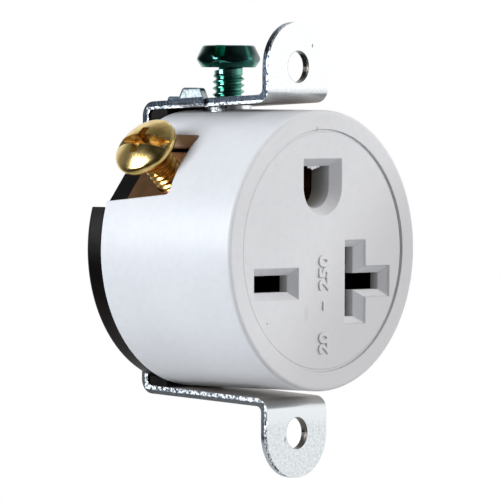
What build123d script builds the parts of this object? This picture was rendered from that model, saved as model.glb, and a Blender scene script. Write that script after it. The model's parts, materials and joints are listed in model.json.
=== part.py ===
# Round single power socket with a T-slot, held by a bent steel mounting strap.
#
# Each piece is drawn in the socket's own axes: +X to the right of someone who
# faces it, +Z up, and depth (+Y) counted from the face plane towards the back.
# All pieces are then moved so that the row's origin is the middle of the two
# mounting holes, on the front plane of the ears.
import os
from math import asin, cos, radians, sin, tan

from build123d import *

# Housing: a moulded cup, open at the back
face_diameter = 35.0
housing_depth = 21.5
housing_wall = 2.6
front_wall = 2.7
face_edge_round = 0.5
ring_inset = 2.4
ring_width = 0.35
ring_depth = 0.4
disc_recess = 0.15

# Slots in the face: straight throats behind funnel mouths
blade_offset = 8.6
blade_drop = 4.0
slot_length = 6.9
slot_width = 2.1
tee_height = 8.7
side_lip = 1.05
end_lip = 0.8
mouth_depth = 1.5
ground_rise = 7.98
ground_width = 5.35
ground_flat_rise = 2.55

# Pockets for the contacts
core_gap = 0.2
pocket_side = 0.5
ground_pocket_side = 0.35

# Base: disc, core inside the housing and two lugs under the strap
base_inset = 0.4
base_thickness = 3.0
base_groove_depth = 0.35
base_groove_length = 0.5
base_edge_round = 0.6
core_clearance = 0.15
lug_width = 10.6
lug_seat_gap = 0.05
ground_pocket_floor = 2.5

# Mounting strap: one bent strip
strap_thickness = 1.0
strap_width = 11.2
arm_gap = 0.05
arm_splay = 3.0
back_bend_radius = 0.8
ear_bend_radius = 0.8
ear_setback = 4.3
ear_hole_offset = 3.4
mounting_hole_diameter = 4.0
tab_length = 4.3
tab_top_length = 2.9
tab_height = 1.4
tab_thickness = 0.9
tab_offset = 0.9
tab_standoff = 0.4
pip_length = 2.2
pip_height = 0.45
collar_diameter = 6.0
collar_height = 0.8

# Screws: no. 8 thread form left plain, in tapped holes
terminal_depth = 16.0
terminal_angle = 40.0
thread_pitch = 0.794
screw_diameter = 4.16
thread_clearance = 0.05
screw_tip_chamfer = 0.5
binding_head_diameter = 8.5
binding_head_height = 2.2
binding_rim_height = 0.9
binding_edge_round = 0.3
binding_slot_width = 1.25
binding_slot_depth = 1.2
binding_cross_length = 4.1
terminal_gap = 5.35
terminal_screw_length = 7.2
hex_across_flats = 7.6
hex_head_height = 2.6
hex_slot_width = 1.3
hex_slot_depth = 1.4
hex_crown_diameter = 6.7
hex_crown_slope = 55.0
hex_turn = 12.0
hex_slot_turn = 29.0
ground_gap = 3.9
ground_screw_length = 6.3
tip_room = 0.4

# Notches in the housing round the terminal screws
notch_front = 11.5
notch_upper = 4.5
notch_lower = 4.9
notch_draft = 6.0
notch_corner_round = 0.6
base_notch_upper = 5.4
base_notch_lower = 6.4
base_notch_front = 8.5

# Contacts: brass strip
plate_thickness = 1.0
plate_inset = 3.7
plate_front = 11.9
plate_upper = 4.2
plate_lower = 4.4
floor_step = 0.2
contact_thickness = 0.7
contact_bend_radius = 0.4
jaw_gap = 1.35
jaw_front = 4.6
jaw_back = 17.2
jaw_lip = 0.6
jaw_spread = 0.55
riser_front = 12.4
ground_jaw_gap = 4.45
ground_jaw_height = 4.8

# Fasteners that hold the pieces together from the back
upper_screw_height = 0.8
lower_screw_inset = 4.0
assembly_screw_diameter = 3.0
assembly_head_diameter = 5.6
assembly_head_height = 1.7
assembly_screw_length = 12.0
assembly_slot_width = 0.9
assembly_slot_depth = 0.8
boss_diameter = 5.4
boss_end = 13.0
rivet_diameter = 2.4
rivet_head_diameter = 4.0
rivet_jaw_clearance = 0.225
rivet_head_height = 0.6

# Fit clearances
seat_clearance = 0.1
hole_clearance = 0.15

# Places that follow from the sizes above
face_radius = face_diameter / 2
inner_radius = face_radius - housing_wall
core_radius = inner_radius - core_clearance
core_front = front_wall + core_gap
base_radius = face_radius - base_inset
plate_top = face_radius - plate_inset
base_floor = plate_top - floor_step
base_back = housing_depth + base_thickness
strap_back = base_back + strap_thickness
tee_offset = blade_offset - slot_length / 2 + slot_width / 2
screw_radius = screw_diameter / 2
tapped_radius = screw_radius + thread_clearance
splay_slope = tan(radians(arm_splay))
arm_back_height = face_radius + arm_gap + strap_thickness
ear_hole_height = arm_back_height + (housing_depth - ear_setback) * splay_slope + ear_hole_offset


def facing(depth):
    """Sketch plane parallel to the face: local x is +X, local y is +Z."""
    return Plane((0, depth, 0), x_dir=(1, 0, 0), z_dir=(0, -1, 0))


def prism(sketch, near, far):
    """Solid of a face-on sketch between two depths."""
    return extrude(facing(near) * sketch, amount=near - far)


def side_plane(x):
    """Sketch plane seen from the right: local x is depth, local y is +Z."""
    return Plane((x, 0, 0), x_dir=(0, 1, 0), z_dir=(1, 0, 0))


def terminal_plane(rho):
    """Plane square to the left terminal screw, rho from the socket's axis.

    Local x is depth and local y runs down along the terminal's floor.
    """
    out = Vector(-cos(radians(terminal_angle)), 0, sin(radians(terminal_angle)))
    return Plane(out * rho, x_dir=(0, 1, 0), z_dir=out)


def along_terminal(sketch, low, high):
    """Solid of a sketch square to the left terminal screw."""
    return extrude(terminal_plane(low) * sketch, amount=high - low)


def mirrored(shape):
    """The same shape on the other side of the socket."""
    return mirror(shape, Plane.YZ)


def box(x_range, depth_range, z_range):
    """Box between pairs of limits."""
    width = x_range[1] - x_range[0]
    height = z_range[1] - z_range[0]
    middle = Pos((x_range[0] + x_range[1]) / 2, (z_range[0] + z_range[1]) / 2)
    return prism(middle * Rectangle(width, height), *depth_range)


def arm_outer_height(depth):
    """Height of the strap arm's outer surface above the axis at a depth."""
    return arm_back_height + (housing_depth - depth) * splay_slope


# Face slots


def left_slot(length_lip, width_lip):
    outline = Rectangle(slot_length + 2 * length_lip, slot_width + 2 * width_lip)
    return Pos(-blade_offset, -blade_drop) * outline


def tee_slot(length_lip, width_lip):
    left = tee_offset - slot_width / 2 - width_lip
    right = blade_offset + slot_length / 2 + length_lip
    upright = Pos(tee_offset, -blade_drop) * Rectangle(
        slot_width + 2 * width_lip, tee_height + 2 * width_lip
    )
    across = Pos((left + right) / 2, -blade_drop) * Rectangle(
        right - left, slot_width + 2 * width_lip
    )
    return upright + across


def ground_slot(lip):
    half = ground_width / 2 + lip
    top = ground_flat_rise + lip
    with BuildSketch() as outline:
        with BuildLine():
            Polyline((-half, 0), (-half, top), (half, top), (half, 0))
            ThreePointArc((half, 0), (0, -half), (-half, 0))
        make_face()
    return Pos(0, ground_rise) * outline.sketch


def funnel(mouth, throat, through):
    """Cutter of one slot: its flared mouth and its straight throat."""
    flare = loft([(facing(0) * mouth).faces()[0], (facing(mouth_depth) * throat).faces()[0]])
    return flare + prism(throat, mouth_depth, through)


# Pockets behind the slots, seen from the face


def left_pocket():
    length = slot_length + 2 * pocket_side
    height = jaw_gap + 2 * (contact_thickness + jaw_spread + pocket_side)
    return Pos(-blade_offset, -blade_drop) * Rectangle(length, height)


def tee_pocket():
    inner = tee_offset - jaw_gap / 2 - contact_thickness - pocket_side
    outer = blade_offset + slot_length / 2 + pocket_side
    height = tee_height + 2 * pocket_side
    return Pos((inner + outer) / 2, -blade_drop) * Rectangle(outer - inner, height)


def ground_pocket():
    half = ground_jaw_gap / 2 + contact_thickness + ground_pocket_side
    height = ground_jaw_height + 2 * pocket_side
    return Pos(0, ground_rise) * Rectangle(2 * half, height)


def boss_places():
    return [Pos(0, upper_screw_height), Pos(0, lower_screw_inset - inner_radius)]


def notch_outline(front, back, upper, lower, draft):
    """Cutter outline round the left terminal, in the terminal plane."""
    fall = (back - front) * tan(radians(draft))
    points = [(front, -upper), (back, -upper), (back, lower + fall), (front, lower)]
    outline = make_face(Polyline(*points, close=True))
    near = outline.vertices().sort_by(Axis.X)[:2]
    return fillet(near, notch_corner_round)


# Pieces


def face_housing():
    body = prism(Circle(face_radius), 0, housing_depth)
    front_edge = body.edges().group_by(Axis.Y)[0]
    body = fillet(front_edge, face_edge_round)
    disc_radius = face_radius - ring_inset
    body -= prism(Circle(disc_radius), 0, disc_recess)
    groove = Circle(disc_radius) - Circle(disc_radius - ring_width)
    body -= prism(groove, 0, disc_recess + ring_depth)
    body -= prism(Circle(inner_radius), front_wall, housing_depth)

    for place in boss_places():
        body += prism(place * Circle(boss_diameter / 2), front_wall, boss_end)
    for pocket in (left_pocket, tee_pocket):
        body -= prism(pocket(), core_front, jaw_back + pocket_side)
    riser_side = riser_room(riser_inner() + contact_thickness + pocket_side)
    body -= riser_side
    body -= mirrored(riser_side)
    pilot = assembly_screw_diameter / 2
    pilot_end = strap_back - assembly_screw_length - tip_room
    for place in boss_places():
        body -= prism(place * Circle(pilot), pilot_end, boss_end)

    body -= funnel(left_slot(end_lip, side_lip), left_slot(0, 0), front_wall)
    body -= funnel(tee_slot(end_lip, side_lip), tee_slot(0, 0), front_wall)
    body -= funnel(ground_slot(side_lip), ground_slot(0), front_wall)

    overrun = housing_depth + face_edge_round
    outline = notch_outline(notch_front, overrun, notch_upper, notch_lower, notch_draft)
    notch = along_terminal(outline, plate_top - housing_wall, face_radius + housing_wall)
    body -= notch
    body -= mirrored(notch)

    collar_room = collar_diameter / 2 + tip_room
    relief = Pos(0, terminal_depth, inner_radius / 2) * Cylinder(
        collar_room, face_radius, align=(Align.CENTER, Align.CENTER, Align.MIN)
    )
    body -= relief
    return body


def base():
    body = prism(Circle(base_radius), housing_depth, base_back)
    rim = body.edges().group_by(Axis.Y)[-1]
    body = fillet(rim, base_edge_round)
    step = Circle(base_radius) - Circle(base_radius - base_groove_depth)
    body -= prism(step, housing_depth, housing_depth + base_groove_length)
    body += lugs()
    body += prism(Circle(core_radius), core_front, housing_depth)

    for pocket, end in (
        (left_pocket, jaw_back + pocket_side),
        (tee_pocket, jaw_back + pocket_side),
        (ground_pocket, base_back - ground_pocket_floor),
    ):
        body -= prism(pocket(), core_front, end)
    for place in boss_places():
        boss_hole = boss_diameter / 2 + hole_clearance
        body -= prism(place * Circle(boss_hole), core_front, boss_end + seat_clearance)
        screw_hole = assembly_screw_diameter / 2 + hole_clearance
        body -= prism(place * Circle(screw_hole), boss_end, base_back)
    rivet_hole = rivet_diameter / 2 + hole_clearance
    body -= prism(Pos(0, ground_rise) * Circle(rivet_hole), housing_depth, base_back)

    body -= terminal_room()
    body -= mirrored(terminal_room())
    ground_tip = ground_head_seat() - ground_screw_length - ground_travel() - tip_room
    body -= Pos(0, terminal_depth, ground_tip) * Cylinder(
        collar_diameter / 2 + tip_room,
        face_radius,
        align=(Align.CENTER, Align.CENTER, Align.MIN),
    )
    return body


def lugs():
    """Block across the base that fills the corners between body and strap."""
    front = arm_outer_height(housing_depth) - strap_thickness - lug_seat_gap
    back = arm_outer_height(base_back) - strap_thickness - lug_seat_gap
    outline = make_face(
        Polyline(
            (housing_depth, -front),
            (base_back, -back),
            (base_back, back),
            (housing_depth, front),
            close=True,
        )
    )
    corners = outline.vertices().group_by(Axis.X)[-1]
    outline = fillet(corners, back_bend_radius)
    return extrude(side_plane(-lug_width / 2) * outline, amount=lug_width)


def terminal_room():
    """What the base leaves free for the left terminal: floor, plate and screw."""
    plate_bottom = plate_top - plate_thickness
    overrun = base_back + base_edge_round
    outline = notch_outline(base_notch_front, overrun, base_notch_upper, base_notch_lower, 0)
    room = along_terminal(outline, base_floor, face_radius + housing_wall)
    seat = Pos((plate_front + housing_depth) / 2, 0) * Rectangle(
        housing_depth - plate_front + 2 * seat_clearance,
        2 * face_radius,
    )
    room += along_terminal(seat, plate_bottom, face_radius + housing_wall)
    tip_end = terminal_head_seat() - terminal_screw_length - terminal_travel() - tip_room
    bore = Pos(terminal_depth, 0) * Circle(screw_radius + tip_room)
    room += along_terminal(bore, tip_end, plate_bottom)
    return room + riser_room(inner_radius)


def riser_inner():
    """Distance of the riser's inner face from the middle plane."""
    return blade_offset + slot_length / 2


def riser_room(outer):
    """What is left free for the left contact's riser, out to a distance."""
    return box(
        (-outer, -riser_inner()),
        (riser_front - pocket_side, jaw_back + pocket_side),
        (-blade_drop, plate_top * sin(radians(terminal_angle))),
    )


def mounting_strap():
    half = strap_thickness / 2
    ear_depth = ear_setback + half
    ear_end = ear_hole_height + strap_width / 2
    back_depth = base_back + half
    front_height = arm_outer_height(ear_depth) - half
    back_height = arm_outer_height(back_depth) - half
    middle_line = [
        (ear_depth, ear_end),
        (ear_depth, front_height),
        (back_depth, back_height),
        (back_depth, -back_height),
        (ear_depth, -front_height),
        (ear_depth, -ear_end),
    ]
    ear_radius = ear_bend_radius + half
    back_radius = back_bend_radius + half
    radii = [ear_radius, back_radius, back_radius, ear_radius]
    ribbon = trace(FilletPolyline(*middle_line, radius=radii), strap_thickness)
    strap = extrude(side_plane(-strap_width / 2) * ribbon, amount=strap_width)
    ears = SlotCenterToCenter(2 * ear_hole_height, strap_width, rotation=90)
    strap &= prism(ears, 0, strap_back + strap_thickness)
    for end in (-1, 1):
        hole = Pos(0, end * ear_hole_height) * Circle(mounting_hole_diameter / 2)
        strap -= prism(hole, 0, ear_setback + 2 * strap_thickness)

    for place in boss_places():
        screw_hole = assembly_screw_diameter / 2 + hole_clearance
        strap -= prism(place * Circle(screw_hole), base_back, strap_back)
    rivet_hole = rivet_diameter / 2 + hole_clearance
    strap -= prism(Pos(0, ground_rise) * Circle(rivet_hole), base_back, strap_back)

    strap += wire_tab()
    collar_top = arm_outer_height(terminal_depth) - strap_thickness / 2
    collar_bottom = arm_outer_height(terminal_depth) - strap_thickness - collar_height
    upright = (Align.CENTER, Align.CENTER, Align.MIN)
    strap += Pos(0, terminal_depth, collar_bottom) * Cylinder(
        collar_diameter / 2, collar_top - collar_bottom, align=upright
    )
    strap -= Pos(0, terminal_depth, collar_bottom) * Cylinder(
        tapped_radius, collar_height + 2 * strap_thickness, align=upright
    )
    return strap


def wire_tab():
    """Tab bent up from the arm's left edge, which keeps the wire at its screw."""
    middle = terminal_depth + tab_offset
    arm_top = arm_outer_height(middle)
    foot = arm_top - strap_thickness
    top = arm_top + tab_height
    taper = (tab_length - tab_top_length) / 2
    front = middle - tab_length / 2
    back = middle + tab_length / 2
    outline = make_face(
        Polyline(
            (front, foot),
            (front, arm_top),
            (front + taper, top),
            (back - taper, top),
            (back, arm_top),
            (back, foot),
            close=True,
        )
    )
    top_corners = outline.vertices().group_by(Axis.Y)[-1]
    outline = fillet(top_corners, taper)
    outer = -strap_width / 2 - tab_standoff
    tab = extrude(side_plane(outer) * outline, amount=tab_thickness)
    bend = tab.edges().filter_by(Axis.Y).sort_by(Axis.Z)[:2].sort_by(Axis.X)[0]
    tab = fillet(bend, tab_standoff)
    pip_height_at = arm_outer_height(back + pip_length / 2)
    pip = make_face(
        Polyline(
            (back, pip_height_at - strap_thickness / 2),
            (back, pip_height_at + pip_height),
            (back + pip_length, pip_height_at + pip_height),
            (back + pip_length, pip_height_at - strap_thickness / 2),
            close=True,
        )
    )
    pip = fillet(pip.vertices().group_by(Axis.Y)[-1], pip_height)
    return tab + extrude(side_plane(-strap_width / 2) * pip, amount=tab_thickness)


def terminal_plate():
    """Tapped plate under the left terminal screw, with the riser down to the jaws."""
    bottom = plate_top - plate_thickness
    length = housing_depth - plate_front
    blank = Pos(plate_front + length / 2, (plate_lower - plate_upper) / 2) * Rectangle(
        length, plate_lower + plate_upper
    )
    plate = along_terminal(blank, bottom, plate_top)
    plate -= along_terminal(Pos(terminal_depth, 0) * Circle(tapped_radius), bottom, plate_top)
    return plate


def riser(height):
    """Strip from the plate's lower edge down beside the left pocket to a height."""
    angle = radians(terminal_angle)
    middle = plate_top - plate_thickness / 2
    fold_x = middle * cos(angle) + plate_lower * sin(angle)
    fold_z = middle * sin(angle) - plate_lower * cos(angle)
    outer = riser_inner() + contact_thickness / 2 + seat_clearance
    start_x = fold_x - seat_clearance * sin(angle)
    knee_z = fold_z - contact_thickness - abs(fold_x - outer)
    points = [(-start_x, fold_z), (-outer, knee_z), (-outer, height)]
    line = FilletPolyline(*points, radius=contact_bend_radius)
    return prism(trace(line, contact_thickness), riser_front, jaw_back)


def left_contact():
    """Brass strip: tapped plate, riser and a fork that grips a flat blade."""
    contact = terminal_plate()
    leaf_height = -blade_drop + jaw_gap / 2 + jaw_spread + contact_thickness / 2
    contact += riser(leaf_height)
    fork = fork_profile(jaw_front, jaw_back)
    inner = -blade_offset + slot_length / 2 - seat_clearance
    outer = -blade_offset - slot_length / 2 + seat_clearance
    contact += extrude(side_plane(outer) * fork, amount=inner - outer)
    contact += box(
        (-riser_inner() - contact_thickness, outer + contact_thickness),
        (riser_front, jaw_back),
        (leaf_height - contact_thickness / 2, leaf_height + contact_thickness / 2),
    )
    return contact


def fork_profile(front, back):
    """Side view of a folded fork: two leaves that pinch behind flared lips."""
    pinch = jaw_gap / 2 + contact_thickness / 2
    spread = pinch + jaw_spread
    throat = front + 2 * jaw_lip
    shoulder = (throat + back) / 2
    end = back - contact_thickness / 2
    upper = [(front, spread), (throat, pinch), (shoulder, spread), (end, spread)]
    lower = [(depth, -height) for depth, height in reversed(upper)]
    line = FilletPolyline(*upper, *lower, radius=contact_bend_radius)
    return Pos(0, -blade_drop) * trace(line, contact_thickness)


def right_contact():
    """Brass strip on the right, whose jaws take a blade either way of the T."""
    thick = contact_thickness
    reach = seat_clearance
    upright = jaw_gap / 2 + thick / 2
    left_wall = tee_offset - upright
    right_wall = tee_offset + upright
    outer = blade_offset + slot_length / 2 - reach
    top = -blade_drop + tee_height / 2 - reach
    bottom = -blade_drop - tee_height / 2 + reach
    upper = -blade_drop + upright + jaw_spread
    lower = -blade_drop - upright - jaw_spread
    leaves = trace(Line((left_wall, bottom), (left_wall, top)), thick)
    for end, turn in ((top, upper), (bottom, lower)):
        corner_line = [(right_wall, end), (right_wall, turn), (outer, turn)]
        leaves += trace(FilletPolyline(*corner_line, radius=contact_bend_radius), thick)
    contact = prism(leaves, jaw_front, jaw_back)
    contact += box((left_wall - thick / 2, outer), (jaw_back - thick, jaw_back), (bottom, top))
    contact += mirrored(terminal_plate() + riser(upper))
    contact += box(
        (outer - thick, riser_inner() + thick),
        (riser_front, jaw_back),
        (upper - thick / 2, upper + thick / 2),
    )
    return contact


def ground_contact():
    """Folded brass strip that grips the ground pin, riveted to base and strap."""
    thick = contact_thickness
    wall = ground_jaw_gap / 2 + thick / 2
    foot = base_back - ground_pocket_floor - thick / 2
    throat = jaw_front + 2 * jaw_lip
    flare = wall + ground_pocket_side - seat_clearance
    right = [(flare, jaw_front), (wall, throat), (wall, foot)]
    left = [(-x, depth) for x, depth in reversed(right)]
    line = FilletPolyline(*right, *left, radius=contact_bend_radius)
    plan = Plane((0, 0, ground_rise - ground_jaw_height / 2), x_dir=(1, 0, 0), z_dir=(0, 0, 1))
    contact = extrude(plan * trace(line, thick), amount=ground_jaw_height)
    hole = Circle(rivet_diameter / 2)
    contact -= prism(Pos(0, ground_rise) * hole, foot - thick, foot + thick)
    return contact


def terminal_head_seat():
    """Distance from the axis to the underside of a terminal screw's head."""
    return plate_top + terminal_gap


def terminal_travel():
    """Whole half turns that close the gap under a terminal screw's head."""
    half_pitch = thread_pitch / 2
    return (terminal_gap // half_pitch) * half_pitch


def left_terminal_screw():
    """Backed-out screw with a low domed head, a full slot and a short cross arm."""
    seat = terminal_head_seat()
    radius = binding_head_diameter / 2
    rim = binding_rim_height
    crown = binding_head_height
    edge = radius - binding_edge_round
    rise = crown - rim
    dome = (edge**2 + rise**2) / (2 * rise)
    half_angle = asin(edge / dome) / 2
    shoulder = (dome * sin(half_angle), crown - dome + dome * cos(half_angle))
    tip = -terminal_screw_length
    profile = make_face(
        [
            Line((0, tip), (screw_radius - screw_tip_chamfer, tip)),
            Line((screw_radius - screw_tip_chamfer, tip), (screw_radius, tip + screw_tip_chamfer)),
            Line((screw_radius, tip + screw_tip_chamfer), (screw_radius, 0)),
            Line((screw_radius, 0), (edge, 0)),
            ThreePointArc((edge, 0), (radius, rim / 2), (edge, rim)),
            ThreePointArc((edge, rim), shoulder, (0, crown)),
            Line((0, crown), (0, tip)),
        ]
    )
    screw = revolve(Plane.XZ * profile, axis=Axis.Z)
    sunk = (Align.CENTER, Align.CENTER, Align.MAX)
    slot = Box(2 * radius, binding_slot_width, binding_slot_depth, align=sunk)
    cross = Box(binding_slot_width, binding_cross_length, binding_slot_depth, align=sunk)
    screw -= Pos(0, 0, crown) * (slot + cross)
    axis = terminal_plane(seat)
    foot = axis.origin + Vector(0, terminal_depth, 0)
    return Plane(foot, x_dir=axis.x_dir, z_dir=axis.z_dir) * screw


def right_terminal_screw():
    return mirrored(left_terminal_screw())


def ground_head_seat():
    """Height of the underside of the ground screw's head."""
    return arm_outer_height(terminal_depth) + ground_gap


def ground_travel():
    """Whole half turns that close the gap under the ground screw's head."""
    half_pitch = thread_pitch / 2
    return (ground_gap // half_pitch) * half_pitch


def ground_screw():
    seat = ground_head_seat()
    upright = (Align.CENTER, Align.CENTER, Align.MIN)
    hanging = (Align.CENTER, Align.CENTER, Align.MAX)
    screw = Cylinder(screw_radius, ground_screw_length, align=hanging)
    screw = chamfer(screw.edges().group_by(Axis.Z)[0], screw_tip_chamfer)
    head = extrude(RegularPolygon(hex_across_flats / 2, 6, major_radius=False), hex_head_height)
    crown = Cone(
        hex_crown_diameter / 2 + hex_head_height / tan(radians(hex_crown_slope)),
        hex_crown_diameter / 2,
        hex_head_height,
        align=upright,
    )
    head &= crown
    slot = Box(2 * hex_across_flats, hex_slot_width, hex_slot_depth, align=hanging)
    head = Rot(0, 0, hex_turn) * head
    head -= Pos(0, 0, hex_head_height) * Rot(0, 0, hex_slot_turn) * slot
    return Pos(0, terminal_depth, seat) * (screw + head)


def assembly_screw(place):
    """Pan-head screw from the strap through the base into a boss."""
    end = strap_back + assembly_head_height
    shank = place * Circle(assembly_screw_diameter / 2)
    head = prism(place * Circle(assembly_head_diameter / 2), strap_back, end)
    head = fillet(head.edges().group_by(Axis.Y)[-1], assembly_head_height / 2)
    slot = place * Rectangle(assembly_head_diameter, assembly_slot_width)
    head -= prism(slot, end - assembly_slot_depth, end)
    return head + prism(shank, strap_back - assembly_screw_length, strap_back)


def upper_assembly_screw():
    return assembly_screw(boss_places()[0])


def lower_assembly_screw():
    return assembly_screw(boss_places()[1])


def ground_rivet():
    """Rivet through the ground contact's foot, the base and the strap."""
    foot_front = base_back - ground_pocket_floor - contact_thickness
    rivet = prism(Circle(rivet_diameter / 2), foot_front, strap_back)
    head_radius = ground_jaw_gap / 2 - rivet_jaw_clearance
    inner_head = prism(Circle(head_radius), foot_front - rivet_head_height, foot_front)
    outer_head = prism(Circle(rivet_head_diameter / 2), strap_back, strap_back + rivet_head_height)
    outer_head = fillet(outer_head.edges().group_by(Axis.Y)[-1], rivet_head_height / 2)
    return Pos(0, 0, ground_rise) * (rivet + inner_head + outer_head)


PIECES = [
    face_housing,
    base,
    mounting_strap,
    left_contact,
    right_contact,
    ground_contact,
    left_terminal_screw,
    right_terminal_screw,
    ground_screw,
    upper_assembly_screw,
    lower_assembly_screw,
    ground_rivet,
]


def main():
    os.makedirs("parts", exist_ok=True)
    to_mount = Pos(0, -ear_setback, 0)
    for piece in PIECES:
        solid = to_mount * piece()
        export_step(solid, f"parts/{piece.__name__}.step")
    print("terminal screw travel", round(terminal_travel(), 3))
    print("ground screw travel", round(ground_travel(), 3))


main()
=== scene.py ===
# Looks of the round power socket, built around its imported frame.
import json
from math import acos, cos, pi, radians, sin, tan

import bmesh
import bpy
from mathutils import Matrix, Vector


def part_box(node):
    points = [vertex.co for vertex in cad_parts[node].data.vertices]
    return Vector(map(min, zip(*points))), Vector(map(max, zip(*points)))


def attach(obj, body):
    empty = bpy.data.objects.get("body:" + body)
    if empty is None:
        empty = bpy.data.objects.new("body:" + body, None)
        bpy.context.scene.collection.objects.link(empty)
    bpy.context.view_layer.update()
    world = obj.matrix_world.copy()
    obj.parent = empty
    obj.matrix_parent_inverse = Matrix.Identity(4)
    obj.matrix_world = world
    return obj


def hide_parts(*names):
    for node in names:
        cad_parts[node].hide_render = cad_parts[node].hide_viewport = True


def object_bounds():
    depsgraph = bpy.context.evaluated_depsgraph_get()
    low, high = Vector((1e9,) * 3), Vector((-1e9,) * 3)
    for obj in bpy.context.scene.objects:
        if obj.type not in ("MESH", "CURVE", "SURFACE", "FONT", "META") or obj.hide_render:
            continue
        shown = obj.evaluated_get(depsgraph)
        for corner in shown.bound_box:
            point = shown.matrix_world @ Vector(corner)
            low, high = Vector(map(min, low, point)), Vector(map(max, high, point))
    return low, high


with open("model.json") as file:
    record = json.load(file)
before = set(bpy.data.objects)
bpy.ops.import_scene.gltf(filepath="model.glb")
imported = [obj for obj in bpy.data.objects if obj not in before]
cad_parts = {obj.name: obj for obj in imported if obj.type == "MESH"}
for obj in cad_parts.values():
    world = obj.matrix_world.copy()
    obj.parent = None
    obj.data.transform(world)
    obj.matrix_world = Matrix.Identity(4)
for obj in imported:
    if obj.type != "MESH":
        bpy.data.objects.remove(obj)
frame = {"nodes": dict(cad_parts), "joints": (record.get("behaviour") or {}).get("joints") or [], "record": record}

MM = 0.001
cad_low, cad_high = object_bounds()

# Places read from the frame, in metres
face_low, face_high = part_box("face_housing")
strap_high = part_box("mounting_strap")[1]
base_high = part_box("base")[1]
screw_low, screw_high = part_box("ground_screw")
face_y = face_low.y
face_radius = face_high.x
ear_hole_rise = strap_high.z - strap_high.x
strap_thickness = strap_high.y - base_high.y
screw_middle_y = (screw_low.y + screw_high.y) / 2

# Camera: the photograph's direction, distance and framing
CAMERA_AZIMUTH = -48.79
CAMERA_ELEVATION = 1.64
CAMERA_ROLL = 0.22
CAMERA_DISTANCE = 793.8 * MM
FOCAL_PIXELS = 6387.0
PHOTO_SIZE = 500.0
FACE_PIXEL = (323.5, 250.5)
SENSOR_WIDTH = 36.0

# Threads of the three terminal screws, in millimetres
THREAD_PITCH = 0.794
THREAD_RADIUS = 2.02
THREAD_ROOT_RADIUS = 1.62
THREAD_CREST_SHARE = 0.12
THREAD_ROOT_SHARE = 0.14
THREAD_SEGMENTS = 72
THREAD_ROWS = 14
NECK_RADIUS = 1.8
NECK_LENGTH = 0.75
NECK_FADE_SHARE = 0.6
TIP_CHAMFER = 0.5
HEAD_OVERLAP = 0.3

# Rounding of the screws' edges and room above their heads for what cuts their slots
SOFT_ANGLE = 38.0
CUT_ROOM = 1.0

# Head of the brass terminal screws, in millimetres
BINDING_CAD_HEIGHT = 2.2
BINDING_HEIGHT = 2.6
BINDING_RIM = 1.5
BINDING_EDGE_ROUND = 0.75
BINDING_DOME_RADIUS = 3.85
BINDING_SLOT_WIDTH = 1.5
BINDING_SLOT_FLARE = 0.15
BINDING_CROSS_WIDTH = 1.15
BINDING_SLOT_DEPTH = 1.3
BINDING_CROSS_LENGTH = 4.1
BINDING_CROSS_TAPER = 0.5
BINDING_SOFTENING = 0.06
BINDING_UNDERSIDE = (0.3, 0.6, 0.8, 0.95)
BINDING_SEGMENTS = 96
BINDING_EDGE_STEPS = 14
BINDING_DOME_STEPS = 24

# Distance from the socket's middle line at which a brass screw's head gives way to its shank
SHANK_REACH = 20.0
SHANK_FADE = 0.8

# Head of the green ground screw, in millimetres
HEX_ACROSS_FLATS = 7.6
HEX_CAD_HEIGHT = 2.6
HEX_HEIGHT = 2.65
HEX_CROWN_RADIUS = 3.3
HEX_CROWN_SLOPE = 63.0
HEX_FOOT_RADIUS = 3.4
HEX_FOOT_SLOPE = 55.0
HEX_CORNER_RADIUS = 4.28
HEX_SLOT_WIDTH = 1.35
HEX_SLOT_DEPTH = 1.4
HEX_TURN = 23.2
HEX_SLOT_TURN = -66.8
HEX_SOFTENING = 0.08
HEX_UNDERSIDE = (0.3, 0.7, 0.95)
HEX_SEGMENTS = 240
HEX_STEPS = 40
hex_seat_z = screw_high.z - HEX_CAD_HEIGHT * MM

# Degrees from the middle of a side at which its painted dark reflection ends and is full
HEX_PAINTED_DARK_FADE = (28.0, 24.0)

# Shallow dome on the hexagon's crown: shares of the crown's radius and their rises
HEX_DOME = ((0.975, 0.07), (0.93, 0.13), (0.86, 0.16), (0.5, 0.17), (0.2, 0.17))

# Numbers moulded on the face, in millimetres: text, its two ends up the face, its height
NUMBER_BLOCKS = (("20", -12.84, -10.14, 1.9), ("-", -7.4, -6.3, 0.32), ("250", -4.95, -0.5, 1.9))
NUMBER_TEXT_SIZE = 2.6
NUMBER_BEVEL = 0.05
NUMBER_X = 0.14
NUMBER_RISE = 0.16
NUMBER_BOLDNESS = 0.07
DISC_RECESS = 0.15

# Face details, in millimetres
DISC_RADIUS = 15.1
RING_WIDTH = 0.35
RING_FLOOR = 0.17
RING_DEEPENING = 0.25
RING_THICKNESS = 0.35
RING_SEGMENTS = 256
GROUND_RISE = 7.98
GROUND_HALF_WIDTH = 2.675
GROUND_FLAT_RISE = 2.55
THROAT_START = 1.5
LINER_START = 2.68
LINER_END = 4.4
LINER_WALL = 0.2
THROAT_STEPS = 32

# Distance from the middle line within which the slots lie, in millimetres
SLOT_REACH = 14.6

# Notch walls, in millimetres: depth at which their painted bounce light starts and is full, and the same for the
# distance from the middle line at which it turns to painted brown shade
NOTCH_FRONT = (5.5, 6.5)
NOTCH_FOOT = (15.5, 15.1)

# Moulding flash at the top of the ground hole, in millimetres: how far it hangs down along its length
FLASH_DROPS = (0.05, 0.32, 0.18, 0.42, 0.5, 0.3, 0.38, 0.16, 0.24, 0.05)
FLASH_START = -1.3
FLASH_LENGTH = 2.4
FLASH_INSET = 0.1
FLASH_THICKNESS = 0.12

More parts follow.
